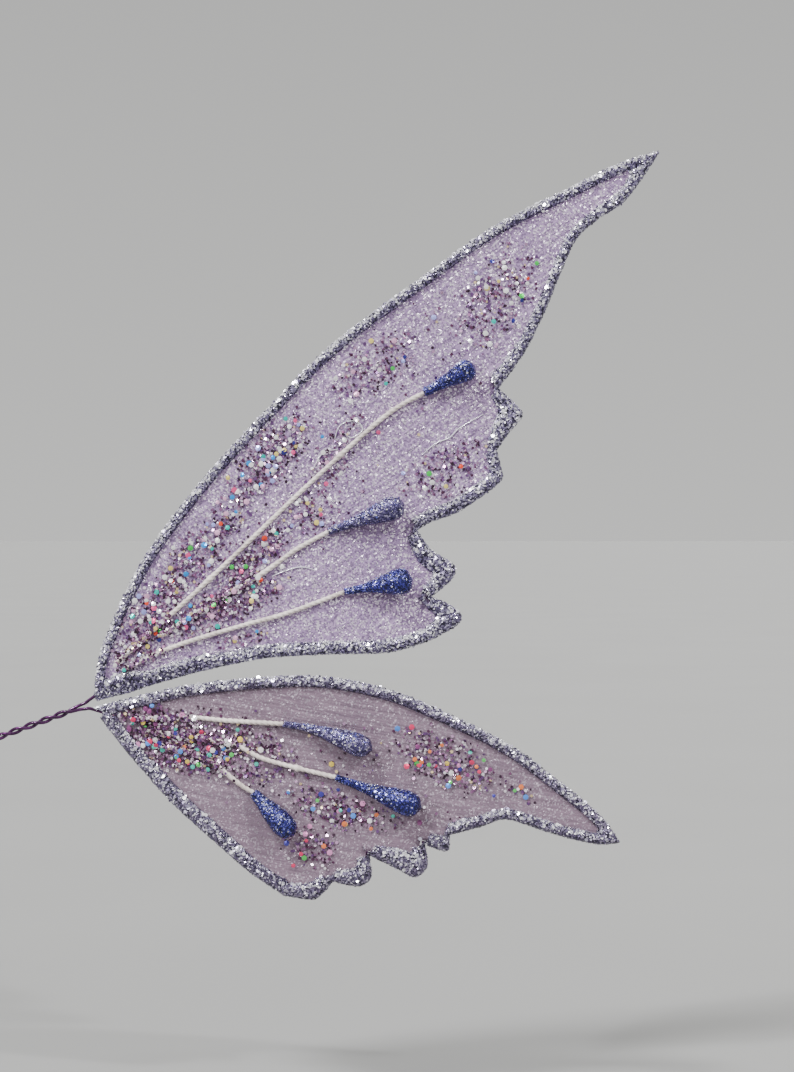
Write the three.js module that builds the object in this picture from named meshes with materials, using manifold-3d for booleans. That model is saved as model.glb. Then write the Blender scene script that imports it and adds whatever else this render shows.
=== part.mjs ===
// Fairy wings for a craft doll: one side's pair, a long forewing over a short hindwing. Each wing is a
// sheet of sheer film across a loop of soft wire, closed in a bead of glitter glue, with three drop
// stamens glued to its front. The two loops end in a twisted wire stem.
//
// Millimetres. The origin is the wing root, where the stem meets the wings. +X runs out along the wings,
// +Z is up, and -Y is the decorated front.

import * as THREE from 'three';
import { mergeVertices } from 'three/addons/utils/BufferGeometryUtils.js';
import Module from 'manifold-3d';

const wasm = await Module();
wasm.setup();

// Driving dimensions.
const FILM = 0.25;
const WIRE_R = 0.25;
const BEAD = 1.5;
const WIRE_INSET = 0.66;
const WIRE_GAP = 0.08;
const SLOT_FROM_WIRE = 0.2;
const FILM_FROM_WIRE = 0.42;
const WIRE_TURN = 0.95;
const LAYER_GAP = 0.06;
const THREAD_R = 0.35;
const THREAD_GAP = 0.1;
const FILM_FRONT = -(FILM / 2 + LAYER_GAP);

const STEM_LENGTH = 28;
const STEM_SLOPE = THREE.MathUtils.degToRad(20);
const STEM_START = 2.6;
const TWIST_R = 0.31;
const TWIST_PITCH = 4.8;
const TWIST_STEPS = 8;
const ROOT_WIRE_STEPS = 5;
const ROOT_WIRE_SIDES = 12;
const WASTE = 6;

// Each wing's outline is a ring of runs. A run is a smooth curve through its points: a long edge, or one
// scallop between two notches. steps is how finely the run is cut, and bead is how wide the glitter is.
const FOREWING = [
  { steps: 22, bead: 1.4, points: [[0.4, 0.7], [0.7, 5], [2.2, 10], [5.3, 17], [9.2, 23.8], [16.6, 33.5],
    [25.6, 43.3], [35.9, 53.6], [48.7, 63.2], [59.9, 71.2], [71.2, 77], [79.5, 81], [85.2, 82.7]] },
  { steps: 12, bead: 1.5, points: [[85.2, 82.7], [80.3, 75.7], [75.9, 72.5], [72.7, 69.6], [70.8, 65.6],
    [67.6, 57.9], [64.6, 52.1], [61, 47.2]] },
  { steps: 9, bead: 1.8, points: [[61, 47.2], [63.2, 45.1], [64.6, 43.2], [62.6, 40.5], [60.7, 37.9]] },
  { steps: 11, bead: 1.7, points: [[60.7, 37.9], [61.4, 35.2], [61.5, 33.5], [58.8, 31.2], [54.7, 28.5],
    [51, 27.2], [48.8, 25.9]] },
  { steps: 10, bead: 1.8, points: [[48.8, 25.9], [51, 22.9], [54.2, 20.8], [54.1, 18.7], [50.9, 15.9]] },
  { steps: 9, bead: 1.8, points: [[50.9, 15.9], [53.8, 14.7], [55.4, 13.2], [54.6, 11.5], [50.6, 9.3]] },
  { steps: 16, bead: 2, points: [[50.6, 9.3], [44.6, 7.6], [36, 7.3], [26.8, 6.8], [20.1, 5.6],
    [11.4, 3.4], [5.7, 1.6], [0.8, 0.3]] },
];

const HINDWING = [
  { steps: 20, bead: 1.6, points: [[0.4, -0.7], [1.6, -0.45], [5.2, 0.5], [13.9, 2.5], [23.8, 3.65],
    [33.8, 3.95], [43.8, 2.2], [53.3, -1.6], [62.8, -6.4], [70.7, -12.2], [76.3, -16.9], [79.2, -20.9]] },
  { steps: 8, bead: 1.6, points: [[79.2, -20.9], [76, -21.2], [70, -19.9], [64, -17.9], [61.5, -17.5],
    [58.5, -18.5], [53.7, -19.8]] },
  { steps: 5, bead: 1.7, points: [[53.7, -19.8], [53.3, -22.2], [50, -21.3]] },
  { steps: 9, bead: 1.8, points: [[50, -21.3], [50.3, -24.5], [48.4, -26.1], [45.4, -24.7], [41.6, -22.9]] },
  { steps: 7, bead: 1.8, points: [[41.6, -22.9], [41.9, -25.9], [40.1, -27.5], [36.1, -26.8]] },
  { steps: 6, bead: 1.9, points: [[36.1, -26.8], [34.8, -28.4], [33, -29.5], [28.8, -28.9]] },
  { steps: 14, bead: 2.2, points: [[28.8, -28.9], [23.8, -25.5], [17.9, -20.4], [12.4, -15.4],
    [7.2, -9.7], [3.9, -5.7], [1.3, -2.3]] },
];

// A stamen is a stiff thread laid through its points, with a glitter drop from the thread's end to its
// tip. root is the stretch of wire that the wing is bent at.
const WINGS = {
  forewing: {
    runs: FOREWING,
    root: [[-1.8, -0.33], [-1, -0.02], [-0.35, 0.5]],
    stamens: {
      upper: { thread: [[3.6, 5.9], [14, 15.2], [22.1, 22.8], [32, 32.3], [43.7, 42.8], [49.8, 46.5]],
        tip: [57.4, 50.4], diameter: 3.2 },
      middle: { thread: [[10.2, 10], [20, 16.2], [25.8, 19.6], [30.6, 23], [35.5, 25.7]],
        tip: [46.9, 29.8], diameter: 3.6 },
      lower: { thread: [[4.6, 4.9], [12.1, 8.4], [22.1, 11.5], [29.3, 13.5], [37.9, 16.7]],
        tip: [48.1, 18.6], diameter: 4 },
    },
  },
  hindwing: {
    runs: HINDWING,
    root: [[-1.8, -0.98], [-1, -0.9], [-0.35, -0.82]],
    stamens: {
      upper: { thread: [[6, -2.3], [14.4, -2.1], [20.3, -2.6], [28.8, -3.1]],
        tip: [42.1, -6.9], diameter: 3.5 },
      middle: { thread: [[8, -4.1], [14, -4.9], [21.3, -6.2], [26.3, -8.5], [36.6, -11.1]],
        tip: [49.4, -15.6], diameter: 3.8 },
      lower: { thread: [[9.5, -6.1], [13, -6.9], [17.2, -8.3], [22.3, -12.2], [24.3, -13.4]],
        tip: [30.4, -19.7], diameter: 3.6 },
    },
  },
};

// A drop's radius along its length, both as shares: the neck, the swelling and the round end.
const DROP_PROFILE = [[0, 0.3], [0.25, 0.36], [0.5, 0.62], [0.7, 0.9], [0.83, 1], [0.94, 0.78], [1, 0]];
const DROP_RINGS = 9;
const DROP_SIDES = 10;

const FINISHES = {
  film: { color: '#b3a2d6', roughness: 0.45, metalness: 0 },
  glitter: { color: '#8f86c4', roughness: 0.35, metalness: 0.5 },
  drop: { color: '#3a3f9c', roughness: 0.35, metalness: 0.5 },
  thread: { color: '#d9cfc8', roughness: 0.7, metalness: 0 },
  wire: { color: '#5a2a78', roughness: 0.3, metalness: 0.9 },
};

function piece(name, geometry, finish) {
  const mesh = new THREE.Mesh(geometry, new THREE.MeshStandardMaterial(FINISHES[finish]));
  mesh.name = name;
  return mesh;
}

// A route whose tube steps fall exactly on its own points.
class Route extends THREE.Curve {
  constructor(points) {
    super();
    this.points = points;
    this.steps = points.length - 1;
  }

  getPoint(t) {
    const place = THREE.MathUtils.clamp(t, 0, 1) * this.steps;
    const i = Math.min(Math.floor(place), this.steps - 1);
    return this.points[i].clone().lerp(this.points[i + 1], place - i);
  }

  getTangent(t) {
    const i = Math.round(t * this.steps);
    const before = this.points[Math.max(i - 1, 0)];
    const after = this.points[Math.min(i + 1, this.steps)];
    return after.clone().sub(before).normalize();
  }

  getSpacedPoints() {
    return this.points;
  }

  getTangentAt(u) {
    return this.getTangent(u);
  }
}

// A round bar of one radius along a list of points.
function bar(points, radius, sides = 6) {
  const route = new Route(points);
  const section = new THREE.Shape();
  for (let i = 0; i < sides; i++) {
    const turn = (i / sides) * 2 * Math.PI;
    const corner = [radius * Math.cos(turn), radius * Math.sin(turn)];
    if (i === 0) section.moveTo(...corner);
    else section.lineTo(...corner);
  }
  section.closePath();
  return new THREE.ExtrudeGeometry(section, { steps: route.steps, extrudePath: route });
}

// The points of a wing's outline, one run after another, each with the bead's width there.
function outlineOf(runs) {
  return runs.flatMap(({ steps, bead, points }, i) => {
    const curve = new THREE.SplineCurve(points.map(([x, z]) => new THREE.Vector2(x, z)));
    const cut = curve.getSpacedPoints(steps);
    const last = i === runs.length - 1 ? cut : cut.slice(0, -1);
    return last.map((place) => ({ place, bead }));
  });
}

function distanceToEdge(place, outline) {
  const foot = new THREE.Vector3();
  const at = new THREE.Vector3(place.x, place.y, 0);
  return Math.min(...outline.map((point, i) => {
    const next = outline[(i + 1) % outline.length];
    const from = new THREE.Vector3(point.place.x, point.place.y, 0);
    const to = new THREE.Vector3(next.place.x, next.place.y, 0);
    new THREE.Line3(from, to).closestPointToPoint(at, true, foot);
    return foot.distanceTo(at);
  }));
}

// The outline moved inwards by width, or by what width gives for each point. At a sharp tip the moved
// points would cross over, so those nearer to the edge than that are left out.
function inset(outline, width) {
  const turn = Math.sign(THREE.ShapeUtils.area(outline.map(({ place }) => place)));
  const places = [];
  outline.forEach((point, i) => {
    const before = outline.at(i - 1).place;
    const after = outline[(i + 1) % outline.length].place;
    const into = point.place.clone().sub(before).normalize();
    const out = after.clone().sub(point.place).normalize();
    const along = into.add(out).normalize();
    const depth = typeof width === 'function' ? width(point) : width;
    const moved = new THREE.Vector2(-along.y, along.x).multiplyScalar(turn * depth).add(point.place);
    if (distanceToEdge(moved, outline) > 0.97 * depth) places.push(moved);
  });
  return places;
}

// A flat plate of an outline in the wings' plane, centred on it. A hole runs the other way round.
function plate(places, thickness, hole) {
  const shape = new THREE.Shape(places);
  if (hole) shape.holes.push(new THREE.Path(hole.reverse()));
  const geometry = new THREE.ExtrudeGeometry(shape, { depth: thickness, bevelEnabled: false });
  return geometry.rotateX(Math.PI / 2).translate(0, thickness / 2, 0);
}

function solidOf(geometry) {
  geometry.deleteAttribute('normal');
  geometry.deleteAttribute('uv');
  const merged = mergeVertices(geometry, 1e-5);
  const mesh = new wasm.Mesh({
    numProp: 3,
    vertProperties: new Float32Array(merged.attributes.position.array),
    triVerts: new Uint32Array(merged.index.array),
  });
  return new wasm.Manifold(mesh);
}

function geometryOf(solid) {
  const mesh = solid.getMesh();
  const geometry = new THREE.BufferGeometry();
  geometry.setAttribute('position', new THREE.BufferAttribute(mesh.vertProperties, 3));
  geometry.setIndex(new THREE.BufferAttribute(mesh.triVerts, 1));
  geometry.computeVertexNormals();
  return geometry;
}

// The frame wire's loop: round inside the bead, turning back where its two sides come close at the tip,
// and stopping before it meets its own start at the root.
function frameLoop(outline) {
  const places = inset(outline, WIRE_INSET);
  const open = places.filter((place, i) => places.every((other, j) => {
    const apart = Math.abs(i - j);
    return Math.min(apart, places.length - apart) < 3 || place.distanceTo(other) > WIRE_TURN;
  }));
  return open.slice(0, -1);
}

// The glitter bead: a ring along the wing's edge, cut out from inside for the wire and the film.
function bead(outline, loop) {
  const ring = plate(outline.map(({ place }) => place), BEAD, inset(outline, (point) => point.bead));
  const channel = bar(loop.map(inWingPlane), WIRE_R + WIRE_GAP);
  const cuts = [channel, filmRoom(loop, SLOT_FROM_WIRE), filmRoom(loop, FILM_FROM_WIRE)];
  return geometryOf(cuts.reduce((left, cut) => left.subtract(solidOf(cut)), solidOf(ring)));
}

// The film: held in the bead short of the wire, and filling the bead's opening into its corners.
function film(outline, loop) {
  const held = solidOf(plate(insideLoop(loop, FILM_FROM_WIRE), FILM));
  const seen = solidOf(plate(inset(outline, (point) => point.bead + LAYER_GAP), FILM));
  return geometryOf(held.add(seen));
}

function filmRoom(loop, depth) {
  return plate(insideLoop(loop, depth), FILM + 2 * LAYER_GAP);
}

function insideLoop(loop, depth) {
  return inset(loop.map((place) => ({ place })), depth);
}

function inWingPlane({ x, y }) {
  return new THREE.Vector3(x, 0, y);
}

function threadRoute(points) {
  const places = points.map(([x, z]) => new THREE.Vector3(x, FILM_FRONT - THREAD_R, z));
  return new THREE.CatmullRomCurve3(places).getSpacedPoints(2 * points.length);
}

// A drop lies on the film along its whole length, so its middle rises as it swells.
function drop(start, tip, diameter) {
  const radius = diameter / 2;
  const run = new THREE.Vector2(tip[0] - start[0], tip[1] - start[1]);
  const length = run.length() - THREAD_GAP;
  const outline = new THREE.SplineCurve(DROP_PROFILE.map(([along, out]) => new THREE.Vector2(out, along)));
  const rings = outline.getPoints(DROP_RINGS).map(({ x, y }) => new THREE.Vector2(x * radius, y * length));
  const profile = [new THREE.Vector2(0, 0), ...rings];
  const geometry = new THREE.LatheGeometry(profile, DROP_SIDES);
  const place = geometry.attributes.position;
  const heights = profile.map((_, k) => Math.max(rings[0].x, ...profile.slice(0, k + 1).map(({ x }) => x)));
  for (let i = 0; i < place.count; i++) {
    place.setZ(i, place.getZ(i) + heights[i % profile.length]);
  }
  const heading = Math.atan2(run.x, run.y);
  const from = run.setLength(THREAD_GAP).add(new THREE.Vector2(...start));
  return geometry.rotateX(Math.PI / 2).rotateY(heading).translate(from.x, FILM_FRONT, from.y);
}

// One of the stem's two strands, twisted round the other and cut off flush.
function strand(phase) {
  const along = new THREE.Vector3(-Math.cos(STEM_SLOPE), 0, -Math.sin(STEM_SLOPE));
  const up = new THREE.Vector3(-Math.sin(STEM_SLOPE), 0, Math.cos(STEM_SLOPE));
  const back = new THREE.Vector3(0, 1, 0);
  const turns = (STEM_LENGTH + WIRE_R - STEM_START) / TWIST_PITCH;
  const steps = Math.ceil(turns * TWIST_STEPS);
  const points = [];
  for (let i = 0; i <= steps; i++) {
    const turn = phase + (i / steps) * turns * 2 * Math.PI;
    const distance = THREE.MathUtils.lerp(STEM_START, STEM_LENGTH + WIRE_R, i / steps);
    points.push(along.clone().multiplyScalar(distance)
      .addScaledVector(up, TWIST_R * Math.cos(turn))
      .addScaledVector(back, TWIST_R * Math.sin(turn)));
  }
  const waste = new THREE.BoxGeometry(WASTE, WASTE, WASTE);
  waste.translate(-STEM_LENGTH - WASTE / 2, 0, 0).rotateY(-STEM_SLOPE);
  return geometryOf(solidOf(bar(points, WIRE_R)).subtract(solidOf(waste)));
}

// The stretch of wire between the stem and one wing, where the wing is bent to pose it.
function rootWire(points) {
  const route = new THREE.CatmullRomCurve3(points.map(([x, z]) => new THREE.Vector3(x, 0, z)));
  return bar(route.getSpacedPoints(ROOT_WIRE_STEPS), WIRE_R, ROOT_WIRE_SIDES);
}

function wing(name, { runs, root, stamens }) {
  const group = new THREE.Group();
  const outline = outlineOf(runs);
  const loop = frameLoop(outline);
  group.add(piece(`${name}_film`, film(outline, loop), 'film'));
  group.add(piece(`${name}_glitter_bead`, bead(outline, loop), 'glitter'));
  group.add(piece(`${name}_frame_wire`, bar(loop.map(inWingPlane), WIRE_R), 'wire'));
  group.add(piece(`${name}_root_wire`, rootWire(root), 'wire'));
  for (const [place, { thread, tip, diameter }] of Object.entries(stamens)) {
    const stamen = `${name}_${place}_stamen`;
    group.add(piece(`${stamen}_thread`, bar(threadRoute(thread), THREAD_R), 'thread'));
    group.add(piece(`${stamen}_drop`, drop(thread.at(-1), tip, diameter), 'drop'));
  }
  return group;
}

const wings = new THREE.Group();
wings.add(piece('stem_upper_strand', strand(0), 'wire'));
wings.add(piece('stem_lower_strand', strand(Math.PI), 'wire'));
for (const [name, design] of Object.entries(WINGS)) wings.add(wing(name, design));

export default wings;
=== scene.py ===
"""Fairy wings: a film forewing and hindwing with glitter edges, drop stamens and a twisted wire stem.

Lengths in the tables are millimetres in the frame of the CAD model: x runs out along the wings, z is up,
and -y is the decorated front. Meshes are made in metres.
"""

import math

import bpy
import numpy as np
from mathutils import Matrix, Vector, noise
from mathutils.geometry import delaunay_2d_cdt


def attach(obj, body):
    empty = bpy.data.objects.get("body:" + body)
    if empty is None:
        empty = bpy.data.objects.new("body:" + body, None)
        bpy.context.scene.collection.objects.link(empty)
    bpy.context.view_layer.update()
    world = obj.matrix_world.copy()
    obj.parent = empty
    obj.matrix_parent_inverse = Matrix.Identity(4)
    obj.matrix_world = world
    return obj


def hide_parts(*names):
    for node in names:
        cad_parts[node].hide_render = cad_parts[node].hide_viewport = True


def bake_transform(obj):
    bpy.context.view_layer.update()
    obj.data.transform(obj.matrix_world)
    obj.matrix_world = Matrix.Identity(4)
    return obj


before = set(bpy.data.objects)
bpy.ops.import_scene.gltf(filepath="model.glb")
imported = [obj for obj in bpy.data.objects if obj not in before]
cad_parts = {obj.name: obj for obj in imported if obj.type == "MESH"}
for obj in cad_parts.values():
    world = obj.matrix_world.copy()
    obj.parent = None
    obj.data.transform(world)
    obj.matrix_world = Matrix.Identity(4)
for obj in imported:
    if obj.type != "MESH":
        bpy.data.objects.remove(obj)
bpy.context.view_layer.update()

MM = 0.001
random = np.random.default_rng(7)

# The thicknesses and radii that the CAD model has, and the y of the face that its threads lie on.
FILM = 0.25
FILM_FRONT = -0.185
BEAD = 1.5
WIRE_R = 0.25
THREAD_R = 0.35

# How far apart points are along an outline and across the film and the beads, and how close the beads'
# points may come.
EDGE_STEP = 0.16
FILM_STEP = 0.8
BEAD_STEP = 0.17
GRAIN_GAP = 0.1

# The side that faces the key light. Loose silver flakes are massed there on the beads and the drops as a
# painted highlight; the flakes themselves are real glitter.
KEY_LIGHT_SIDE = (-0.45, -0.4, 0.8)
SPARKLES_PER_EDGE_POINT = 4.5
SPARKLES_ON_A_DROP = 130
SPARKLE_THICKNESS = 0.03
FLAKE_THICKNESS = 0.035

# The stem's length and slope, how far from the root its twist starts, and the twist's radius and pitch.
STEM_LENGTH = 28
STEM_SLOPE = math.radians(20)
STEM_START = 2.6
TWIST_R = 0.31
TWIST_PITCH = 4.8

# Each wing's outline is a ring of runs, each with the width of its glitter bead at its ends and in its
# middle. A tooth is glitter nearly all through.
FOREWING = [
    (1.4, 1.4, [(0.4, 0.7), (0.7, 5), (2.2, 10), (5.3, 17), (9.2, 23.8), (16.6, 33.5), (25.6, 43.3),
                (35.9, 53.6), (48.7, 63.2), (59.9, 71.2), (71.2, 77), (79.5, 81), (85.2, 82.7)]),
    (1.9, 1.4, [(85.2, 82.7), (80.3, 75.7), (75.9, 72.5), (72.7, 69.6), (70.8, 65.6), (67.6, 57.9),
                (64.6, 52.1), (61, 47.2)]),
    (1.5, 3.3, [(61, 47.2), (63.2, 45.1), (64.6, 43.2), (62.6, 40.5), (60.7, 37.9)]),
    (1.7, 2.0, [(60.7, 37.9), (61.4, 35.2), (61.5, 33.5), (58.8, 31.2), (54.7, 28.5), (51, 27.2),
                (48.8, 25.9)]),
    (1.7, 2.9, [(48.8, 25.9), (51, 22.9), (54.2, 20.8), (54.1, 18.7), (50.9, 15.9)]),
    (1.7, 3.2, [(50.9, 15.9), (53.8, 14.7), (55.4, 13.2), (54.6, 11.5), (50.6, 9.3)]),
    (1.9, 2.0, [(50.6, 9.3), (44.6, 7.6), (36, 7.3), (26.8, 6.8), (20.1, 5.6)]),
    (2.0, 2.3, [(20.1, 5.6), (15.6, 4.55), (11.4, 3.4), (8.5, 2.5)]),
    (2.3, 3.1, [(8.5, 2.5), (5.7, 1.6), (3.2, 0.95), (0.8, 0.3)]),
]
HINDWING = [
    (1.6, 1.6, [(0.4, -0.7), (1.6, -0.45), (5.2, 0.5), (13.9, 2.5), (23.8, 3.65), (33.8, 3.95),
                (43.8, 2.2), (53.3, -1.6), (62.8, -6.4), (70.7, -12.2), (76.3, -16.9), (79.2, -20.9)]),
    (1.7, 1.6, [(79.2, -20.9), (76, -21.2), (70, -19.9), (64, -17.9), (61.5, -17.5), (58.5, -18.5),
                (53.7, -19.8)]),
    (1.7, 2.4, [(53.7, -19.8), (53.3, -22.2), (50, -21.3)]),
    (1.7, 3.1, [(50, -21.3), (50.3, -24.5), (48.4, -26.1), (45.4, -24.7), (41.6, -22.9)]),
    (1.7, 2.8, [(41.6, -22.9), (41.9, -25.9), (40.1, -27.5), (36.1, -26.8)]),
    (1.8, 2.4, [(36.1, -26.8), (34.8, -28.4), (33, -29.5), (28.8, -28.9)]),
    (2.1, 2.2, [(28.8, -28.9), (23.8, -25.5), (17.9, -20.4), (12.4, -15.4), (7.2, -9.7), (3.9, -5.7),
                (1.3, -2.3)]),
]

# The stamens: the thread's points, the drop's points from the thread's end to its tip, the drop's
# diameter, its neck's share of that, how soon it swells (1 late, less sooner), its colour, and how far from
# the root loose glitter covers the thread.
FOREWING_STAMENS = {
    "upper": dict(thread=[(3.6, 5.9), (14, 15.2), (22.1, 22.8), (32, 32.3), (43.7, 42.8), (49.8, 46.5)],
                  drop=[(49.8, 46.5), (57.4, 50.4)], diameter=3.2, neck=0.42, swell=1, colour="blue",
                  covered=18),
    "middle": dict(thread=[(10.2, 10), (20, 16.2), (25.8, 19.6), (30.6, 23), (35.5, 25.7)],
                   drop=[(35.5, 25.7), (46.9, 29.8)], diameter=3.6, neck=0.32, swell=1, colour="silver",
                   covered=32),
    "lower": dict(thread=[(4.6, 4.9), (12.1, 8.4), (22.1, 11.5), (29.3, 13.5), (37.9, 16.7)],
                  drop=[(37.9, 16.7), (48.1, 18.6)], diameter=4.0, neck=0.27, swell=1, colour="blue",
                  covered=14),
}
HINDWING_STAMENS = {
    "upper": dict(thread=[(6, -2.3), (14.4, -2.1), (20.3, -2.6), (28.8, -3.1)],
                  drop=[(28.8, -3.1), (32, -3.6), (35.3, -4.5), (42.1, -6.9)], diameter=3.5, neck=0.3,
                  swell=1, colour="silver", covered=16),
    "middle": dict(thread=[(8, -4.1), (14, -4.9), (21.3, -6.2), (26.3, -8.5), (36.6, -11.1)],
                   drop=[(36.6, -11.1), (49.4, -15.6)], diameter=3.8, neck=0.3, swell=1, colour="blue",
                   covered=23),
    "lower": dict(thread=[(9.5, -6.1), (13, -6.9), (17.2, -8.3), (22.3, -12.2), (24.3, -13.4)],
                  drop=[(24.3, -13.4), (30.4, -19.7)], diameter=3.6, neck=0.44, swell=0.6, colour="blue",
                  covered=22),
}
# Lumps of glue on the threads.
GLUE_LUMPS = [(17.9, 18.4), (37.4, 36.9), (30.8, -9.9)]
# A drop's radius along its length, both as shares.
DROP_PROFILE = [(0, 0.3), (0.25, 0.36), (0.5, 0.62), (0.7, 0.9), (0.83, 1), (0.94, 0.78), (1, 0)]
PROFILE_NECK = 0.3
PROFILE_WIDEST = 0.83

# Patches of loose glitter: centre, half length, half width, angle in degrees, fine and chunky flakes.
FOREWING_PATCHES = [
    ((8.5, 12.5), 7.5, 3.6, 55, 430, 34),
    ((15.5, 21.5), 8, 3.6, 48, 330, 20),
    ((21, 28.5), 4.5, 2.6, 45, 110, 10),
    ((26.8, 37), 8, 3.9, 50, 430, 42),
    ((24, 21.8), 7, 2.8, 42, 400, 18),
    ((20.5, 14.6), 9.5, 3.2, 30, 560, 34),
    ((33.5, 29), 4.5, 3.4, 40, 90, 11),
    ((36, 35.5), 4, 2.2, 45, 90, 5),
    ((23, 9.6), 4.5, 1.0, 12, 45, 3),
    ((37, 40), 5, 1.6, 45, 50, 4),
    ((42.5, 50.5), 8, 3.6, 38, 240, 12),
    ((61, 61), 8.5, 4.6, 62, 310, 22),
    ((53, 35), 7, 3.8, 28, 240, 9),
    ((24, 25), 22, 11, 44, 190, 5),
    ((50, 52), 19, 9, 50, 80, 3),
]
HINDWING_PATCHES = [
    ((11, -5.5), 9.5, 4.4, -20, 880, 27),
    ((20, -6.5), 10.5, 4.8, -16, 780, 20),
    ((53, -8.5), 8.5, 4, -28, 360, 28),
    ((37, -16), 8.5, 3.0, -14, 280, 18),
    ((33, -21.5), 4.5, 3.2, 0, 120, 9),
    ((64, -13), 6, 1.6, -38, 26, 4),
    ((32, -10), 26, 8, -14, 130, 6),
]
# Where the frame wire raises the bead into a ridge: its line, height and half width.
FOREWING_RIDGES = [([(1, 2.3), (3, 3.3), (6.7, 4.4), (11.1, 5.2), (16, 6.2)], 0.5, 0.7)]

# Strings of clear glue that dried on the forewing's front.
GLUE_STRINGS = [
    [(49.5, 37.2), (51.5, 38.9), (53.6, 39.8), (55.2, 41.3), (58.5, 43.2)],
    [(36.3, 39.2), (37.2, 41.6), (39.4, 42.3), (40.6, 41.0), (39.0, 39.8), (37.7, 40.6)],
    [(27, 19), (29.2, 19.9), (31.4, 20.4), (33.4, 20)],
    [(33.2, 35.2), (34.6, 37.4), (36.9, 38.1)],
]

# Both kinds of loose glitter: which entry of a patch counts them, their radii, how much they lean, how far
# they stand off the film, their gaps along a covered thread, and how high their crowns are.
FINE = dict(entry=4, radii=(0.15, 0.27), lean=0.3, lifts=(0.03, 0.2), gap=0.12, dome=0)
CHUNKY = dict(entry=5, radii=(0.28, 0.47), lean=0.2, lifts=(0.2, 0.38), gap=4, dome=0.16)

# Each wing's wire from the stem's twist into its glitter bead. The spread bend is at the third point.
FOREWING_ROOT = [(-1.8, -0.33), (-1, -0.02), (-0.35, 0.5), (0.5, 1.1), (1.3, 1.8)]
HINDWING_ROOT = [(-1.8, -0.98), (-1, -0.9), (-0.35, -0.82), (0.7, -1.1), (1.7, -1.4)]


# ---------------------------------------------------------------- curves and outlines


# A length too small to divide by, and how many places are measured in one go.
TINY = 1e-12
CHUNK = 1500


def smooth_run(points, step):
    """A smooth curve through points, cut into equal lengths of about step."""
    points = np.array(points, float)
    padded = np.vstack([points[:1], points, points[-1:]])
    cuts_per_span = 40
    t = np.linspace(0, 1, cuts_per_span, endpoint=False)[:, None]
    spans = []
    for a, b, c, d in zip(padded, padded[1:], padded[2:], padded[3:]):
        spans.append(0.5 * (2 * b + (c - a) * t + (2 * a - 5 * b + 4 * c - d) * t**2
                            + (3 * b - a - 3 * c + d) * t**3))
    curve = np.vstack(spans + [points[-1:]])
    along = np.concatenate([[0], np.cumsum(np.linalg.norm(np.diff(curve, axis=0), axis=1))])
    cuts = np.linspace(0, along[-1], max(2, round(along[-1] / step)) + 1)
    return np.stack([np.interp(cuts, along, curve[:, k]) for k in range(curve.shape[1])], axis=1)


def ring_average(values, reach):
    """Values round a ring, each averaged with its neighbours."""
    return sum(np.roll(values, k, axis=0) for k in range(-reach, reach + 1)) / (2 * reach + 1)


class Edge:
    """A wing's outline, with the width of its glitter bead all the way round."""

    def __init__(self, runs):
        curves = [smooth_run(points, EDGE_STEP) for _, _, points in runs]
        places = [curve[:-1] for curve in curves[:-1]] + curves[-1:]
        self.places = np.vstack(places)
        swells = [np.sin(np.linspace(0, math.pi, len(run_places))) for run_places in places]
        widths = np.concatenate([end + (middle - end) * swell
                                 for (end, middle, _), swell in zip(runs, swells)])
        self.widths = ring_average(widths, reach=6)
        along = np.roll(self.places, -1, axis=0) - np.roll(self.places, 1, axis=0)
        along /= np.linalg.norm(along, axis=1)[:, None]
        inward = np.stack([-along[:, 1], along[:, 0]], axis=1)
        x, z = self.places.T
        turn = np.sign(np.sum(x * np.roll(z, -1) - z * np.roll(x, -1)))
        self.inward = inward * turn

    def measure(self, places):
        """How far inside the outline each place is (negative outside), and the bead's width there."""
        starts = self.places
        ends = np.roll(starts, -1, axis=0)
        spans = ends - starts
        squares = np.maximum((spans**2).sum(axis=1), TINY)
        rise = np.where(np.abs(spans[:, 1]) < TINY, TINY, spans[:, 1])
        depths, widths = [], []
        for chunk in np.array_split(np.asarray(places, float), max(1, len(places) // CHUNK)):
            away = chunk[:, None, :] - starts[None]
            share = np.clip((away * spans).sum(axis=2) / squares, 0, 1)
            gaps = np.linalg.norm(away - share[..., None] * spans, axis=2)
            nearest = gaps.argmin(axis=1)
            z = chunk[:, None, 1]
            crosses = (starts[None, :, 1] > z) != (ends[None, :, 1] > z)
            cut = starts[:, 0] + (z - starts[:, 1]) / rise * spans[:, 0]
            inside = (crosses & (chunk[:, None, 0] < cut)).sum(axis=1) % 2 == 1
            depths.append(np.where(inside, 1, -1) * gaps.min(axis=1))
            widths.append(self.widths[nearest])
        return np.concatenate(depths), np.concatenate(widths)


def distance_to_line(places, points):
    """How far places are from a smooth line, and how far along it as a share."""
    line = smooth_run(points, step=0.2)
    gaps = np.linalg.norm(places[:, None, :] - line[None], axis=2)
    return gaps.min(axis=1), gaps.argmin(axis=1) / (len(line) - 1)


def thinned(places, spacing):
    """Places with no two closer together than about spacing."""
    kept, cells = [], {}
    for index, (x, z) in enumerate(places):
        i, j = math.floor(x / spacing), math.floor(z / spacing)
        near = (cells.get((i + a, j + b)) for a in (-1, 0, 1) for b in (-1, 0, 1))
        if any(n is not None and math.dist(places[n], (x, z)) < spacing for n in near):
            continue
        cells[(i, j)] = index
        kept.append(index)
    return places[kept]


def ripple(places, size, seed):
    """Smooth noise from about -1 to 1 for places in two or three dimensions, with bumps about size wide."""
    samples = np.asarray(places, float)
    if samples.shape[1] == 2:
        samples = np.column_stack([samples[:, 0], np.full(len(samples), float(seed)), samples[:, 1]])
    else:
        shift = 17.3
        samples = samples + seed * shift
    return np.array([noise.noise(Vector(p)) for p in samples / size])


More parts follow.
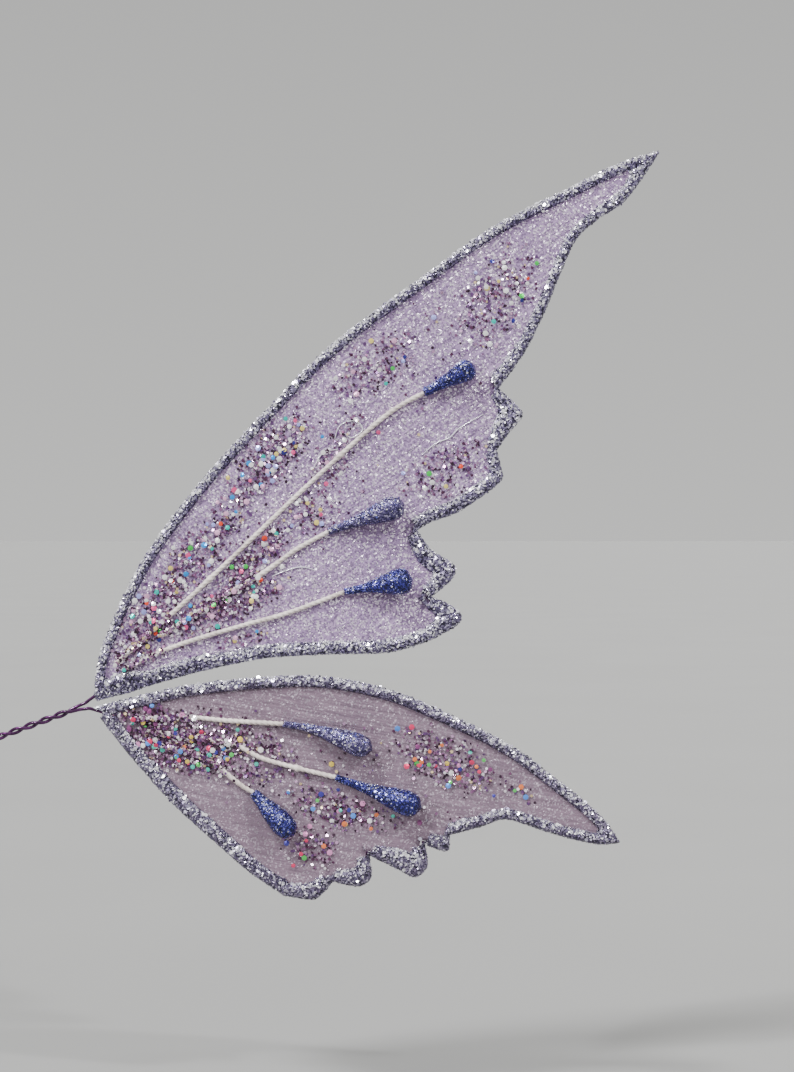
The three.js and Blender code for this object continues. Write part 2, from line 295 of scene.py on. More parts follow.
def film_wave(places, depths):
    """How far the film waves out of its plane: nothing at its edge, a little in its middle."""
    flat_rim, fade_length, broad, small = 1.8, 7, 0.22, 0.07
    fade = np.clip((depths - flat_rim) / fade_length, 0, 1)
    fade = fade * fade * (3 - 2 * fade)
    return fade * (broad * ripple(places, size=13, seed=3) + small * ripple(places, size=4.5, seed=9))


# ---------------------------------------------------------------- meshes


def add_mesh(name, vertices, faces, material, smooth=False):
    """A piece from vertices in millimetres."""
    mesh = bpy.data.meshes.new(name)
    mesh.from_pydata((np.asarray(vertices, float) * MM).tolist(), [], faces)
    mesh.validate()
    mesh.update()
    if smooth:
        mesh.shade_smooth()
    else:
        mesh.shade_flat()
    mesh.materials.append(material)
    piece = bpy.data.objects.new(name, mesh)
    bpy.context.scene.collection.objects.link(piece)
    return piece


def triangulate(ring, inner):
    """Triangles over the inside of a ring and through inner points, with the ring's points first."""
    coords = [Vector(p) for p in np.vstack([ring, inner])]
    outline = list(range(len(ring)))
    keep_inside, merge_distance = 1, 1e-7
    result = delaunay_2d_cdt(coords, [], [outline], keep_inside, merge_distance)
    places = np.array([tuple(p) for p in result[0]])
    return places, np.array([face for face in result[2] if len(face) == 3])


def border_edges(triangles):
    """The directed edges that only one triangle has."""
    edges = {}
    for a, b, c in triangles:
        for edge in ((a, b), (b, c), (c, a)):
            edges[edge] = True
    return [edge for edge in edges if (edge[1], edge[0]) not in edges]


def whole_at_corners(chosen, triangles):
    """Adds triangles to the chosen ones until no corner is shared by two separate stretches of border."""
    by_corner = {}
    for index, triangle in enumerate(triangles):
        for corner in triangle:
            by_corner.setdefault(int(corner), []).append(index)
    chosen = chosen.copy()
    most_rounds = 12
    for _ in range(most_rounds):
        starts = [a for a, _ in border_edges(triangles[chosen].tolist())]
        pinched = np.nonzero(np.bincount(starts) > 1)[0]
        if not len(pinched):
            break
        for corner in pinched:
            chosen[by_corner[int(corner)]] = True
    return chosen


def two_sided(places, triangles, front, back, shared):
    """A closed body with a front and a back surface. The shared corners lie on both.

    A triangle with no corner of its own would have no thickness, so it is left out.
    """
    triangles = triangles[~shared[triangles].all(axis=1)]
    used = np.unique(triangles).tolist()
    number = {old: new for new, old in enumerate(used)}
    vertices = [(places[i][0], front[i], places[i][1]) for i in used]
    behind = {}
    for i in used:
        if shared[i]:
            behind[i] = number[i]
        else:
            behind[i] = len(vertices)
            vertices.append((places[i][0], back[i], places[i][1]))
    corners = triangles.tolist()
    faces = [[number[a], number[b], number[c]] for a, b, c in corners]
    faces += [[behind[c], behind[b], behind[a]] for a, b, c in corners]
    for a, b in border_edges(corners):
        wall = [number[b], number[a], behind[a], behind[b]]
        wall = [v for k, v in enumerate(wall) if v not in wall[:k]]
        if len(wall) > 2:
            faces.append(wall)
    return np.array(vertices), faces


def tube(name, path, radii, material, sides, smooth=True):
    """A closed tube along a path. radii has a row for each point, with one column or one for each side."""
    path = np.asarray(path, float)
    count = len(path)
    radii = np.broadcast_to(np.asarray(radii, float).reshape(count, -1), (count, sides))
    tangents = np.gradient(path, axis=0)
    tangents /= np.linalg.norm(tangents, axis=1)[:, None]
    across = np.cross(tangents[0], (0, 1, 0))
    vertices = []
    turns = np.arange(sides) / sides * 2 * math.pi
    for k in range(count):
        across = across - tangents[k] * np.dot(across, tangents[k])
        across /= np.linalg.norm(across)
        up = np.cross(tangents[k], across)
        ring = np.cos(turns)[:, None] * across + np.sin(turns)[:, None] * up
        vertices.append(path[k] + ring * radii[k][:, None])
    vertices = np.vstack(vertices + [path[:1], path[-1:]])
    faces = []
    for k in range(count - 1):
        for s in range(sides):
            a, b = k * sides + s, k * sides + (s + 1) % sides
            faces.append([a, b, b + sides, a + sides])
    first, last = count * sides, count * sides + 1
    end = (count - 1) * sides
    for s in range(sides):
        faces.append([first, (s + 1) % sides, s])
        faces.append([last, end + s, end + (s + 1) % sides])
    return add_mesh(name, vertices, faces, material, smooth)


def flakes(name, centres, normals, radii, thickness, material, dome=0):
    """Thin six-sided flakes, each a closed body of its own, with a flat or a faceted front."""
    count = len(centres)
    normals = normals / np.linalg.norm(normals, axis=1)[:, None]
    side = np.cross(normals, random.normal(size=(count, 3)))
    side /= np.linalg.norm(side, axis=1)[:, None]
    other = np.cross(normals, side)
    turns = np.arange(6) / 6 * 2 * math.pi
    ring = np.cos(turns)[None, :, None] * side[:, None] + np.sin(turns)[None, :, None] * other[:, None]
    ring = ring * radii[:, None, None]
    lift = normals[:, None] * (thickness / 2)
    bottom = centres[:, None] + ring - lift
    top = centres[:, None] + ring + lift
    rows = [bottom, top]
    if dome:
        crown = top.mean(axis=1) + normals * (dome * radii)[:, None]
        rows.append(crown[:, None])
    vertices = np.concatenate(rows, axis=1).reshape(-1, 3)
    faces = []
    for start in range(0, len(vertices), len(vertices) // count):
        upper, peak = start + 6, start + 12
        faces.append([start + 5 - k for k in range(6)])
        for k in range(6):
            n = (k + 1) % 6
            faces.append([start + k, start + n, upper + n, upper + k])
            if dome:
                faces.append([upper + k, upper + n, peak])
        if not dome:
            faces.append([upper + k for k in range(6)])
    return add_mesh(name, vertices, faces, material)


# ---------------------------------------------------------------- materials


class Finish:
    """A material and its nodes, which are added one at a time."""

    def __init__(self, name):
        self.material = bpy.data.materials.new(name)
        self.material.use_nodes = True
        self.tree = self.material.node_tree
        self.tree.nodes.clear()
        output = self.tree.nodes.new("ShaderNodeOutputMaterial")
        self.shader = self.tree.nodes.new("ShaderNodeBsdfPrincipled")
        self.tree.links.new(self.shader.outputs[0], output.inputs["Surface"])
        place = self.tree.nodes.new("ShaderNodeTexCoord")
        self.place = place.outputs["Object"]

    def node(self, kind, settings=None, **inputs):
        """A new node. Its inputs are given by name, or by number as in0, in1 and so on."""
        node = self.tree.nodes.new("ShaderNode" + kind)
        for key, value in (settings or {}).items():
            setattr(node, key, value)
        for key, value in inputs.items():
            self.feed(node.inputs[int(key[2:]) if key.startswith("in") else key.replace("_", " ")], value)
        return node

    def feed(self, socket, value):
        """Links a socket to another one, or gives it a value."""
        if isinstance(value, bpy.types.NodeSocket):
            self.tree.links.new(value, socket)
        else:
            socket.default_value = value

    def set(self, **inputs):
        """Sets inputs of the material's shader."""
        for key, value in inputs.items():
            self.feed(self.shader.inputs[key.replace("_", " ")], value)

    def ramp(self, factor, stops, interpolation="CONSTANT"):
        """A colour ramp through (position, colour) stops."""
        ramp = self.node("ValToRGB", Fac=factor)
        band = ramp.color_ramp
        band.interpolation = interpolation
        while len(band.elements) > 1:
            band.elements.remove(band.elements[-1])
        band.elements[0].position = stops[0][0]
        band.elements[0].color = (*stops[0][1], 1)
        for position, colour in stops[1:]:
            band.elements.new(position).color = (*colour, 1)
        return ramp.outputs["Color"]

    def math(self, operation, a, b, c=0.0):
        return self.node("Math", {"operation": operation}, in0=a, in1=b, in2=c).outputs[0]

    def vector(self, operation, a, b=(0, 0, 0)):
        return self.node("VectorMath", {"operation": operation}, in0=a, in1=b).outputs[0]

    def scaled(self, a, factor):
        return self.node("VectorMath", {"operation": "SCALE"}, in0=a, Scale=factor).outputs[0]

    def mix(self, factor, a, b, blend="MIX"):
        """Two colours mixed. A mix node takes them at its inputs 6 and 7."""
        a, b = (c if isinstance(c, bpy.types.NodeSocket) else (*c, 1) for c in (a, b))
        settings = {"data_type": "RGBA", "blend_type": blend}
        return self.node("Mix", settings, in0=factor, in6=a, in7=b).outputs[2]

    def cells(self, size):
        """Random colours in cells that are size millimetres wide."""
        return self.node("TexVoronoi", Vector=self.place, Scale=1 / (size * MM)).outputs["Color"]

    def noise(self, size, detail=2.0):
        """Smooth noise with bumps about size millimetres wide."""
        return self.node("TexNoise", Vector=self.place, Scale=1 / (size * MM), Detail=detail).outputs[0]

    def channel(self, colour, which):
        return self.node("SeparateColor", Color=colour).outputs[which]

    def tipped(self, normal, grains, amount):
        """A normal that each grain, by its random colour, tips its own way."""
        lean = self.scaled(self.vector("SUBTRACT", grains, (0.5, 0.5, 0.5)), amount)
        return self.vector("NORMALIZE", self.vector("ADD", normal, lean))


BLACK, WHITE = (0, 0, 0), (1, 1, 1)


def glitter_crust(name, grain, stops, shade, tilt, metallic):
    """Glitter set in dried glue: grains of several colours, each tipped its own way, darker in patches."""
    finish = Finish(name)
    grains = finish.cells(grain)
    colour = finish.ramp(finish.channel(grains, 0), stops)
    drift = finish.ramp(finish.noise(2.6), [(0.3, shade), (0.65, WHITE)], "LINEAR")
    smoothest, spread = 0.12, 0.22
    roughness = finish.math("MULTIPLY_ADD", finish.channel(grains, 1), spread, smoothest)
    normal = finish.node("NewGeometry").outputs["Normal"]
    finish.set(Base_Color=finish.mix(1.0, colour, drift, "MULTIPLY"), Metallic=metallic,
               Roughness=roughness, Normal=finish.tipped(normal, grains, tilt), Coat_Weight=0.25,
               Coat_Roughness=0.2)
    return finish.material


def loose_glitter(name, stops, metallic, roughness):
    """Flakes that are each one colour."""
    finish = Finish(name)
    island = finish.node("NewGeometry").outputs["Random Per Island"]
    finish.set(Base_Color=finish.ramp(island, stops), Metallic=metallic, Roughness=roughness,
               Coat_Weight=0.4, Coat_Roughness=0.1)
    return finish.material


def streaks(finish, angle, length, width, low, high):
    """Noise drawn out into streaks at an angle, black below low and white above high."""
    along = finish.node("Mapping", {"vector_type": "TEXTURE"}, Vector=finish.place,
                        Rotation=(0, -math.radians(angle), 0),
                        Scale=(length * MM, width * MM, width * MM)).outputs[0]
    value = finish.node("TexNoise", Vector=along, Scale=1.0, Detail=2.0).outputs[0]
    return finish.ramp(value, [(low, BLACK), (high, WHITE)], "LINEAR")


def film_finish(name, base, deep, rib_angle, specks):
    """Sheer film backed with finely ribbed cloth and full of tiny silver specks, strong or faint."""
    finish = Finish(name)
    ribs = streaks(finish, rib_angle, length=3.5, width=0.32, low=0.36, high=0.64)
    folds = streaks(finish, rib_angle, length=14, width=1.3, low=0.35, high=0.7)
    blotch = finish.ramp(finish.noise(7), [(0.3, BLACK), (0.7, WHITE)], "LINEAR")
    colour = finish.mix(finish.math("MULTIPLY", blotch, 0.45), base, deep)
    colour = finish.mix(finish.math("MULTIPLY", ribs, 0.6), colour, deep)

    grains = finish.cells(0.21)
    pick = finish.channel(grains, 0)
    bright = finish.math("GREATER_THAN", pick, 0.76)
    dark = finish.math("LESS_THAN", pick, 0.28)
    darkest = tuple(0.45 * c for c in deep)
    colour = finish.mix(finish.math("MULTIPLY", dark, 0.9 * specks), colour, darkest)
    colour = finish.mix(finish.math("MULTIPLY", bright, specks), colour, (0.92, 0.82, 0.96))

    weave = finish.noise(0.25, detail=1.0)
    height = finish.math("MULTIPLY_ADD", weave, 0.6, ribs)
    height = finish.math("MULTIPLY_ADD", folds, 4.0, height)
    bump = finish.node("Bump", Strength=0.5, Distance=0.05 * MM, Height=height).outputs[0]
    finish.set(Base_Color=colour, Metallic=finish.math("MULTIPLY", bright, 0.6 * specks),
               Roughness=finish.math("MULTIPLY_ADD", bright, -0.25, 0.55),
               Normal=finish.tipped(bump, grains, finish.math("MULTIPLY", bright, 0.7)),
               Specular_IOR_Level=0.35)
    return finish.material


def thread_finish():
    """Starched off-white fibres."""
    finish = Finish("starched_thread")
    fibres = finish.noise(0.18, detail=3.0)
    stained, clean = (0.46, 0.38, 0.35), (0.76, 0.68, 0.64)
    stains = finish.ramp(finish.noise(3.5), [(0.35, stained), (0.62, clean)], "LINEAR")
    colour = finish.mix(finish.math("MULTIPLY", fibres, 0.5), stains, (0.86, 0.79, 0.77))
    bump = finish.node("Bump", Strength=0.4, Distance=0.04 * MM, Height=fibres)
    finish.set(Base_Color=colour, Roughness=0.55, Normal=bump.outputs[0], Coat_Weight=0.2,
               Coat_Roughness=0.3)
    return finish.material


def wire_finish():
    """Purple colour coat over soft metal, a little scuffed."""
    finish = Finish("purple_coated_wire")
    worn, glossy = (0.03, 0.003, 0.035), (0.11, 0.018, 0.12)
    scuffs = finish.ramp(finish.noise(0.9, detail=4.0), [(0.35, worn), (0.7, glossy)], "LINEAR")
    fine = finish.noise(0.1)
    bump = finish.node("Bump", Strength=0.15, Distance=0.02 * MM, Height=fine)
    finish.set(Base_Color=scuffs, Metallic=0.85, Normal=bump.outputs[0],
               Roughness=finish.math("MULTIPLY_ADD", fine, 0.15, 0.2), Coat_Weight=0.6,
               Coat_Roughness=0.08)
    return finish.material


def glue_finish():
    """Clear glue strings with an oily shine."""
    finish = Finish("clear_glue_string")
    tint = finish.ramp(finish.noise(1.5), [(0.3, (0.8, 0.78, 0.9)), (0.7, (0.98, 0.97, 1))], "LINEAR")
    finish.set(Base_Color=tint, Roughness=0.15, Metallic=0.3, Coat_Weight=0.8, Coat_Roughness=0.05)
    return finish.material


# The glitter's colours. Stops give where each one starts, as a share of the grains or flakes.
SILVER = (0.95, 0.94, 0.98)
PALE = (0.5, 0.475, 0.6)
LILAC = (0.25, 0.215, 0.35)
VIOLET = (0.095, 0.077, 0.145)
DUSK = (0.028, 0.023, 0.046)
FOREWING_EDGE = glitter_crust(
    "silver_lilac_crust", grain=0.25,
    stops=[(0, DUSK), (0.26, VIOLET), (0.52, LILAC), (0.78, PALE), (0.9, SILVER)],
    shade=(0.55, 0.5, 0.65), tilt=0.6, metallic=0.65)
HINDWING_EDGE = glitter_crust(
    "mauve_silver_crust", grain=0.25,
    stops=[(0, DUSK), (0.25, VIOLET), (0.5, (0.19, 0.155, 0.25)), (0.76, (0.36, 0.32, 0.43)),
           (0.92, (0.75, 0.72, 0.82))],
    shade=(0.5, 0.44, 0.55), tilt=0.6, metallic=0.6)
BLUE_DROP = glitter_crust(
    "deep_blue_crust", grain=0.2,
    stops=[(0, (0.006, 0.006, 0.04)), (0.4, (0.018, 0.018, 0.15)), (0.72, (0.05, 0.045, 0.3)),
           (0.92, (0.2, 0.21, 0.58)), (0.98, SILVER)],
    shade=(0.7, 0.7, 0.85), tilt=0.4, metallic=0.6)
SILVER_DROP = glitter_crust(
    "silver_blue_crust", grain=0.22,
    stops=[(0, (0.03, 0.023, 0.075)), (0.34, (0.075, 0.058, 0.17)), (0.64, (0.17, 0.14, 0.3)),
           (0.86, (0.42, 0.38, 0.55)), (0.95, SILVER)],
    shade=(0.7, 0.68, 0.8), tilt=0.5, metallic=0.65)
FOREWING_SPARKLE = loose_glitter(
    "silver_lilac_flakes", metallic=0.65, roughness=0.2,
    stops=[(0, VIOLET), (0.12, LILAC), (0.26, PALE), (0.4, SILVER)])
HINDWING_SPARKLE = loose_glitter(
    "mauve_silver_flakes", metallic=0.65, roughness=0.2,
    stops=[(0, VIOLET), (0.2, LILAC), (0.4, PALE), (0.62, SILVER)])
DROP_SPARKLE = loose_glitter(
    "blue_silver_flakes", metallic=0.7, roughness=0.2,
    stops=[(0, (0.1, 0.11, 0.42)), (0.3, (0.3, 0.32, 0.75)), (0.62, (0.6, 0.62, 0.95)), (0.88, SILVER)])
FINE_GLITTER = loose_glitter(
    "fine_purple_flakes", metallic=0.6, roughness=0.2,
    stops=[(0, (0.035, 0.01, 0.03)), (0.16, (0.1, 0.025, 0.08)), (0.34, (0.14, 0.055, 0.19)),
           (0.5, (0.28, 0.12, 0.26)), (0.66, (0.46, 0.27, 0.45)), (0.84, (0.95, 0.87, 0.96)),
           (0.97, (0.8, 0.62, 0.36))])
FOREWING_CHUNKY = loose_glitter(
    "chunky_silver_flakes", metallic=0.5, roughness=0.25,
    stops=[(0, (0.98, 0.97, 0.99)), (0.42, (0.85, 0.45, 0.7)), (0.52, (0.4, 0.42, 0.9)),
           (0.61, (0.02, 0.33, 0.85)), (0.69, (0.0, 0.55, 0.48)), (0.76, (0.85, 0.7, 0.2)),
           (0.83, (0.85, 0.07, 0.03)), (0.87, (0.04, 0.58, 0.08)), (0.9, (0.02, 0.02, 0.22)),
           (0.94, (0.85, 0.1, 0.3))])
HINDWING_CHUNKY = loose_glitter(
    "chunky_rainbow_flakes", metallic=0.5, roughness=0.22,
    stops=[(0, (0.98, 0.95, 0.98)), (0.2, (0.06, 0.58, 0.46)), (0.3, (0.1, 0.3, 0.85)),
           (0.4, (0.1, 0.6, 0.12)), (0.49, (0.88, 0.05, 0.17)), (0.6, (0.92, 0.24, 0.08)),
           (0.69, (0.92, 0.68, 0.12)), (0.77, (0.78, 0.3, 0.6)), (0.86, (0.25, 0.06, 0.2)),
           (0.93, (0.05, 0.04, 0.3))])
FOREWING_FILM = film_finish("lavender_film", base=(0.4, 0.275, 0.465), deep=(0.22, 0.135, 0.29),
                            rib_angle=36, specks=0.75)
HINDWING_FILM = film_finish("mauve_film", base=(0.235, 0.165, 0.22), deep=(0.15, 0.1, 0.145),
                            rib_angle=-10, specks=0.22)
THREAD = thread_finish()
WIRE = wire_finish()
GLUE = glue_finish()


# ---------------------------------------------------------------- the wings


def film_sheet(name, edge, material):
    """The film, a thin waving sheet with its edge inside the glitter bead, with its flat size and area."""
    least_depth, least_mean, inner_depth, jitter = 0.2, 0.3, 0.35, 0.15
    low, high = edge.places.min(axis=0), edge.places.max(axis=0)
    x, z = np.meshgrid(np.arange(low[0], high[0], FILM_STEP), np.arange(low[1], high[1], FILM_STEP))
    grid = np.column_stack([x.ravel(), z.ravel()]) + random.uniform(-jitter, jitter, (x.size, 2))
    depths, _ = edge.measure(grid)
    places, triangles = triangulate(edge.places[::3], grid[depths > inner_depth])
    depths, _ = edge.measure(places)
    at_corners = depths[triangles]
    inside = (at_corners.mean(axis=1) > least_mean) & (at_corners.min(axis=1) > least_depth)
    triangles = triangles[whole_at_corners(inside, triangles)]
    wave = film_wave(places, depths)
    none_shared = np.zeros(len(places), bool)
    vertices, faces = two_sided(places, triangles, wave - FILM / 2, wave + FILM / 2, none_shared)
    piece = add_mesh(name, vertices, faces, material, smooth=True)
    a, b, c = (places[triangles[:, k]] for k in range(3))
    area = abs(np.cross(b - a, c - a)).sum() / 2
    used = places[np.unique(triangles)]
    return piece, used.max(axis=0) - used.min(axis=0), area


def bead_height(depths, widths):
    """Half the bead's thickness: round at the outer edge, and down to a low lip on the film."""
    share = np.clip(depths / widths, 0, 1)
    arch = np.sqrt(np.clip(1 - (2 * share - 1) ** 2, 0, 1))
    lip = 0.28
    return BEAD / 2 * np.where(share < 0.5, arch, lip + (1 - lip) * arch)


def glitter_edge(name, edge, ridges, material):
    """The bead of glitter glue round the wing: lumpy, and rough with grains."""
    grain_height, across_the_film, thinnest, furthest = 0.032, 0.75, 0.1, 1.3
    rows = [0.04, 0.12, 0.24, *np.arange(0.4, edge.widths.max() + 0.2, BEAD_STEP)]
    inner = []
    for row in rows:
        keep = edge.widths + 0.1 > row
        moved = edge.places[keep] + edge.inward[keep] * row
        moved += random.uniform(-0.35, 0.35, moved.shape) * min(BEAD_STEP, row) * 0.6
        depths, _ = edge.measure(moved)
        inner.append(moved[depths > 0.8 * row])
    rough = edge.places - edge.inward * random.uniform(-0.05, 0.1, (len(edge.places), 1))
    places, triangles = triangulate(rough, thinned(np.vstack(inner), GRAIN_GAP))
    depths, widths = edge.measure(places)
    corners = places[triangles]
    longest = np.linalg.norm(corners - np.roll(corners, 1, axis=1), axis=2).max(axis=1)
    triangles = triangles[whole_at_corners(longest < across_the_film, triangles)]

    height = bead_height(np.maximum(depths, 0), widths)
    lumps = 1 + 0.16 * ripple(places, size=1.9, seed=5) + 0.1 * ripple(places, size=0.8, seed=8)
    grain = random.normal(size=(2, len(places))) * grain_height
    front = -height * lumps + grain[0]
    back = height * lumps + grain[1]
    for points, rise, reach in ridges:
        gap, along = distance_to_line(places, points)
        taper = np.clip(np.minimum(along, 1 - along) * 8, 0, 1)
        front -= rise * taper * np.exp(-((gap / reach) ** 2))
    rim = np.arange(len(places)) < len(rough)
    front = np.where(rim, grain[0], np.clip(front, -furthest, -thinnest))
    back = np.where(rim, grain[0], np.maximum(back, thinnest))
    vertices, faces = two_sided(places, triangles, front, back, rim)
    return add_mesh(name, vertices, faces, material)


def sparkles(name, piece, count, sizes, material):
    """Single flakes of glitter that stand out of a piece, most of them small. They are real glitter, but
    massed on the side facing the key light as a painted highlight.
    """
    least_toward_key_light, lean, large_share, spread = 0.15, 0.45, 0.16, 0.08
    mesh = piece.data
    faces = len(mesh.polygons)
    centres = np.empty(faces * 3)
    normals = np.empty(faces * 3)
    areas = np.empty(faces)
    mesh.polygons.foreach_get("center", centres)
    mesh.polygons.foreach_get("normal", normals)
    mesh.polygons.foreach_get("area", areas)
    normals = normals.reshape(-1, 3)
    # Painted highlight: faces turned toward the key light get far more of the silver flakes.
    toward_key_light = np.clip(normals @ np.array(KEY_LIGHT_SIDE), least_toward_key_light, 1)
    weights = areas * toward_key_light**3
    chosen = random.choice(faces, count, p=weights / weights.sum())
    centres = centres.reshape(-1, 3)[chosen] / MM
    normals = normals[chosen]
    places = centres + normals * random.uniform(0.01, 0.07, (count, 1))
    leaning = normals + random.normal(size=(count, 3)) * lean
    small, large = sizes
    radii = np.where(random.uniform(0, 1, count) < large_share, large, small)
    radii = radii + random.uniform(0, spread, count)
    return flakes(name, places, leaning, radii, SPARKLE_THICKNESS, material)


def in_patch(centre, half_length, half_width, angle, count):
    """Places scattered over an oval patch, thinning towards its border."""
    crowding, furthest = 0.55, 1.25
    reach = np.abs(random.normal(size=count)) * crowding
    reach = np.where(reach > furthest, random.uniform(0, 1, count), reach)
    turn = random.uniform(0, 2 * math.pi, count)
    spread = np.column_stack([np.cos(turn) * half_length, np.sin(turn) * half_width])
    spread *= np.sqrt(reach)[:, None]
    c, s = math.cos(math.radians(angle)), math.sin(math.radians(angle))
    return np.array(centre) + spread @ np.array([[c, s], [-s, c]])


def over_threads(places, stamens):
    """How high threads stand under each place, and which places to leave bare because a thread shows."""
    height = np.zeros(len(places))
    bare = np.zeros(len(places), bool)
    luck = random.uniform(0.8, 1.15, len(places))
    from_root = np.linalg.norm(places, axis=1)
    half_width = THREAD_R + 0.12
    for stamen in stamens.values():
        gaps, _ = distance_to_line(places, stamen["thread"])
        across = np.clip(1 - (gaps / half_width) ** 2, 0, 1)
        height = np.maximum(height, 2 * THREAD_R * np.sqrt(across))
        bare |= (across > 0) & (from_root > stamen["covered"] * luck)
    return height, bare


def on_threads(stamens, gap):
    """Places on the covered stretch of each thread, about gap apart along it."""
    places = []
    for stamen in stamens.values():
        line = smooth_run(stamen["thread"], gap)
        line = line[np.linalg.norm(line, axis=1) < stamen["covered"]]
        places.append(line + random.normal(size=line.shape) * THREAD_R)
    return np.vstack(places)


def loose_flakes(name, edge, patches, stamens, kind, material):
    """Loose glitter of one kind on a film's front, in its patches and over the threads."""
    places = [in_patch(*patch[:4], patch[kind["entry"]]) for patch in patches]
    places = np.vstack([*places, on_threads(stamens, kind["gap"])])
    depths, widths = edge.measure(places)
    height, bare = over_threads(places, stamens)
    keep = (depths > widths * 0.9) & ~bare
    places, depths, height = places[keep], depths[keep], height[keep]
    count = len(places)
    radii = random.uniform(*kind["radii"], count)
    normals = np.array([0, -1, 0]) + random.normal(size=(count, 3)) * kind["lean"]
    normals /= np.linalg.norm(normals, axis=1)[:, None]
    half_height = radii * np.sqrt(np.clip(1 - normals[:, 1] ** 2, 0, 1))
    lift = half_height + random.uniform(*kind["lifts"], count)
    front = film_wave(places, depths) - FILM / 2
    front = np.where(height > 0, np.minimum(front, FILM_FRONT - height), front)
    centres = np.column_stack([places[:, 0], front - lift, places[:, 1]])
    return flakes(name, centres, normals, radii, FLAKE_THICKNESS, material, kind["dome"])


def thread(name, points, material):
    """A stamen's thread: twisted fibres, stiff with starch, with a lump or two of glue."""
    step, sides, ply_count, ply_pitch, lump_reach = 0.12, 20, 3, 2.6, 0.5
    flat = smooth_run(points, step)
    path = np.column_stack([flat[:, 0], np.full(len(flat), FILM_FRONT - THREAD_R), flat[:, 1]])
    path[:, 1] += 0.05 * ripple(path, size=5, seed=2)
    along = np.arange(len(path)) * step
    turn = np.arange(sides) / sides * 2 * math.pi
    plies = 0.045 * np.cos(ply_count * (turn[None, :] - 2 * math.pi * along[:, None] / ply_pitch))
    swellings = np.clip(ripple(path, size=6, seed=6) - 0.25, 0, 1)
    lumps = 0.05 * ripple(path, size=2.2, seed=4) + 0.1 * swellings
    for lump in GLUE_LUMPS:
        lumps += 0.2 * np.exp(-((np.linalg.norm(flat - lump, axis=1) / lump_reach) ** 2))
    fuzz = random.normal(size=(len(path), sides)) * 0.01
    ends = np.minimum(1, np.minimum(along, along[-1] - along) / 0.25 + 0.55)
    radii = (THREAD_R * 0.92 + plies + lumps[:, None] + fuzz) * ends[:, None]
    return tube(name, path, radii, material, sides)


def drop(name, made, material):
    """A stamen's drop: a neck that swells to a round end, crusted with glitter."""
    points, diameter, neck = made["drop"], made["diameter"], made["neck"]
    off_thread, off_film, crust, sides = 0.02, 0.03, 0.05, 72
    start = np.array(points[0], float)
    toward = np.array(points[1], float) - start
    start += toward / np.linalg.norm(toward) * off_thread
    flat = smooth_run([tuple(start), *points[1:]], step=0.11)
    share = np.linspace(0, 1, len(flat))
    closer_at_tip = 1 - (1 - share) ** 1.6
    flat = np.column_stack([np.interp(closer_at_tip, share, flat[:, k]) for k in (0, 1)])
    profile = smooth_run(DROP_PROFILE, step=0.01)
    along = closer_at_tip ** made["swell"]
    shape = np.interp(along, profile[:, 0], np.maximum(profile[:, 1], 0))
    thicker = neck + (shape - PROFILE_NECK) * (1 - neck) / (1 - PROFILE_NECK)
    shape = np.where(along < PROFILE_WIDEST, thicker, shape)
    radii = np.maximum(shape * diameter / 2 - crust, 0.02)
    heights = np.maximum.accumulate(radii)
    path = np.column_stack([flat[:, 0], FILM_FRONT - off_film - heights, flat[:, 1]])
    rough = random.normal(size=(len(path), sides)) * 0.018
    lumps = 0.07 * ripple(path, size=1.6, seed=12)[:, None]
    fade = np.minimum(radii / 0.3, 1)[:, None]
    return tube(name, path, radii[:, None] + (rough + lumps) * fade, material, sides, smooth=False)


def glue_string(name, points, edge, material):
    """A fine string of clear glue, lying on the film."""
    flat = smooth_run(points, step=0.15)
    depths, _ = edge.measure(flat)
    off_film = 0.12
    front = film_wave(flat, depths) - FILM / 2 - off_film
    path = np.column_stack([flat[:, 0], front, flat[:, 1]])
    along = np.linspace(0, 1, len(path))
    radii = 0.05 + 0.04 * np.sin(along * math.pi) + 0.02 * ripple(path, size=1.2, seed=15)
    return tube(name, path, radii[:, None], material, sides=8)


def wing(name, runs, stamens, patches, finishes, ridges=(), strings=()):
    """One wing's pieces, on its own body."""
    film_material, crust, sparkle, chunky_material = finishes
    edge = Edge(runs)
    film, size, area = film_sheet(f"{name}_film_sheet", edge, film_material)
    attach(film, name)
    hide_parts(f"{name}_film")

    bead = glitter_edge(f"{name}_glitter_edge", edge, ridges, crust)
    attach(bead, name)
    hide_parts(f"{name}_glitter_bead")
    # Silver flakes on the bead, massed toward the key light as a painted highlight.
    count = int(len(edge.places) * SPARKLES_PER_EDGE_POINT)
    silver = sparkles(f"{name}_edge_sparkles", bead, count, (0.11, 0.26), sparkle)
    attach(silver, name)

    fine = loose_flakes(f"{name}_fine_glitter", edge, patches, stamens, FINE, FINE_GLITTER)
    chunky = loose_flakes(f"{name}_chunky_glitter", edge, patches, stamens, CHUNKY, chunky_material)
    for piece in (fine, chunky):
        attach(piece, name)

    for number, points in enumerate(strings, 1):
        string = glue_string(f"{name}_glue_string_{number}", points, edge, GLUE)
        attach(string, name)

    for place, made in stamens.items():
        stamen = f"{name}_{place}_stamen"
        fibre = thread(f"{stamen}_fibres", made["thread"], THREAD)
        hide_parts(f"{stamen}_thread")
        shell = BLUE_DROP if made["colour"] == "blue" else SILVER_DROP
        end = drop(f"{stamen}_glitter_drop", made, shell)
        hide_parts(f"{stamen}_drop")
        # Flakes on the drop, massed toward the key light as a painted highlight.
        glints = sparkles(f"{stamen}_drop_sparkles", end, SPARKLES_ON_A_DROP, (0.07, 0.12), DROP_SPARKLE)
        for piece in (fibre, end, glints):
            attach(piece, name)


def bent_wire(name, node, path):
    """A stretch of one wire along a curved path, in place of a CAD part, which is hidden."""
    piece = tube(name, path, np.full((len(path), 1), WIRE_R), WIRE, sides=20)
    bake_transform(piece)
    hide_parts(node)


